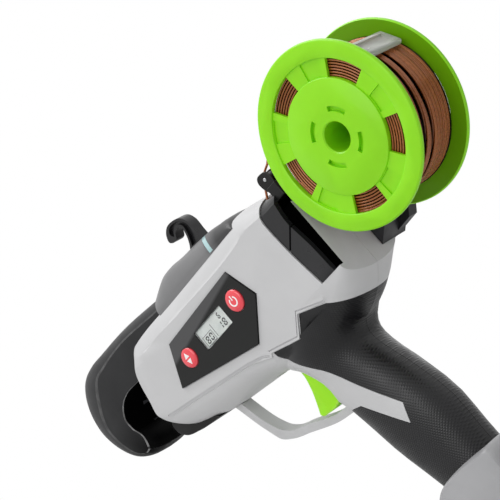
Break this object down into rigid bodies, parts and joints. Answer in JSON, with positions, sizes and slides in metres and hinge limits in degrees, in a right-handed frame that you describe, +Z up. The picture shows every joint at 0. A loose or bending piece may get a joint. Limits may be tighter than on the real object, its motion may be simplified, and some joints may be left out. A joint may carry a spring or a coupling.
{
  "type": "electric vine tying tool",
  "caption": "Pistol-shaped cordless tool that loops, twists and cuts wire round vine stems, with a hooked nose, a side display, a wire spool behind and a battery under its grip.",
  "frame": {"origin": "centre of the battery pack's flat base, which the tool stands on", "axes": "+X forward to the hooked nose, +Y to the tool's left side with the display, +Z up"},
  "size_m": [0.334, 0.062, 0.2715],
  "materials": {
    "shell": "fine grain, light grey",
    "dark": "satin dark grey",
    "black": "glossy black",
    "lime": "glossy lime green",
    "rubber": "fine woven pattern, black",
    "steel": "brushed",
    "wire": "brown lacquered wire",
    "red": "glossy red",
    "window": "clear window",
    "clip": "translucent white",
    "strip": "pale teal light strip",
    "lcd": "light grey display with dark digits",
    "board": "green circuit board",
    "brass": "plain",
    "cell": "blue sleeved cells"
  },
  "bodies": {
    "tool": {"housing_left": "shell", "housing_right": "shell", "trigger_guard": "shell", "battery_dock": "shell", "rear_cover_upper": "dark", "rear_cover_lower": "dark", "top_cover": "dark", "hanging_hook": "dark", "nose_left": "dark", "nose_right": "dark", "gearbox": "dark", "spool_arm": "dark", "spool_spindle": "dark", "lower_jaw": "black", "display_bezel": "black", "trigger_switch": "black", "guide_bracket": "black", "grip_rubber_left": "rubber", "grip_rubber_right": "rubber", "curl_guide": "steel", "trigger_pin": "steel", "trigger_spring": "steel", "twist_motor": "steel", "feed_frame": "steel", "feed_motor": "steel", "wire_tube": "steel", "guide_pin": "steel", "spindle_nut": "steel", "housing_screw_1": "steel", "housing_screw_2": "steel", "housing_screw_3": "steel", "arm_screw_1": "steel", "arm_screw_2": "steel", "tie_wire_lead": "wire", "display_window": "window", "light_strip": "strip", "display_module": "lcd", "control_board": "board", "terminal_block": "brass"},
    "power_button": {"power_button": "red"},
    "adjust_rocker": {"adjust_rocker": "red"},
    "trigger": {"trigger": "lime"},
    "twister_head": {"twister_head": "steel"},
    "drive_roller": {"drive_roller": "steel"},
    "pinch_roller": {"pinch_roller": "steel"},
    "guide_roller": {"guide_roller": "dark"},
    "spool": {"spool_flange_left": "lime", "spool_flange_right": "lime", "coil_core": "wire", "coil_layer": "wire", "wire_clip": "clip"},
    "battery": {"battery_tray": "black", "battery_lid": "black", "battery_cell_1": "cell", "battery_cell_2": "cell", "battery_cell_3": "cell", "battery_cell_4": "cell"},
    "battery_latch": {"battery_latch": "red"}
  },
  "joints": [
    {"name": "power_button_press", "type": "slide", "parent": "tool", "child": "power_button", "axis": [0, -1, 0], "range_m": [0, 0.0008], "stiffness_N_per_m": 400},
    {"name": "adjust_rocker_tilt", "type": "hinge", "parent": "tool", "child": "adjust_rocker", "pos_m": [0.0731, 0.0246, 0.20759], "axis": [1, 0, 0], "range_deg": [-4, 4], "stiffness_Nm_per_rad": 0.05},
    {"name": "trigger_pull", "type": "hinge", "parent": "tool", "child": "trigger", "pos_m": [0.034, 0, 0.1705], "axis": [0, 1, 0], "range_deg": [0, 10], "stiffness_Nm_per_rad": 0.4, "springref_deg": -2.86},
    {"name": "twister_spin", "type": "hinge", "parent": "tool", "child": "twister_head", "pos_m": [0.098, -0.003, 0.1995], "axis": [1, 0, 0], "continuous": true},
    {"name": "drive_roller_spin", "type": "hinge", "parent": "tool", "child": "drive_roller", "pos_m": [0.076, 0, 0.2195], "axis": [0, 1, 0], "continuous": true},
    {"name": "pinch_roller_spin", "type": "hinge", "parent": "tool", "child": "pinch_roller", "pos_m": [0.076, 0, 0.2322], "axis": [0, 1, 0], "continuous": true},
    {"name": "guide_roller_spin", "type": "hinge", "parent": "tool", "child": "guide_roller", "pos_m": [-0.0437, 0.0156, 0.2388], "axis": [0, 1, 0], "continuous": true},
    {"name": "spool_spin", "type": "hinge", "parent": "tool", "child": "spool", "pos_m": [-0.097, 0, 0.224], "axis": [0, 1, 0], "continuous": true},
    {"name": "battery_slide", "type": "slide", "parent": "tool", "child": "battery", "axis": [1, 0, 0], "range_m": [0, 0.09]},
    {"name": "battery_latch_press", "type": "slide", "parent": "battery", "child": "battery_latch", "axis": [-1, 0, 0], "range_m": [0, 0.002], "stiffness_N_per_m": 500}
  ],
  "couplings": [
    {"joint": "pinch_roller_spin", "follows": "drive_roller_spin", "ratio": -1}
  ]
}
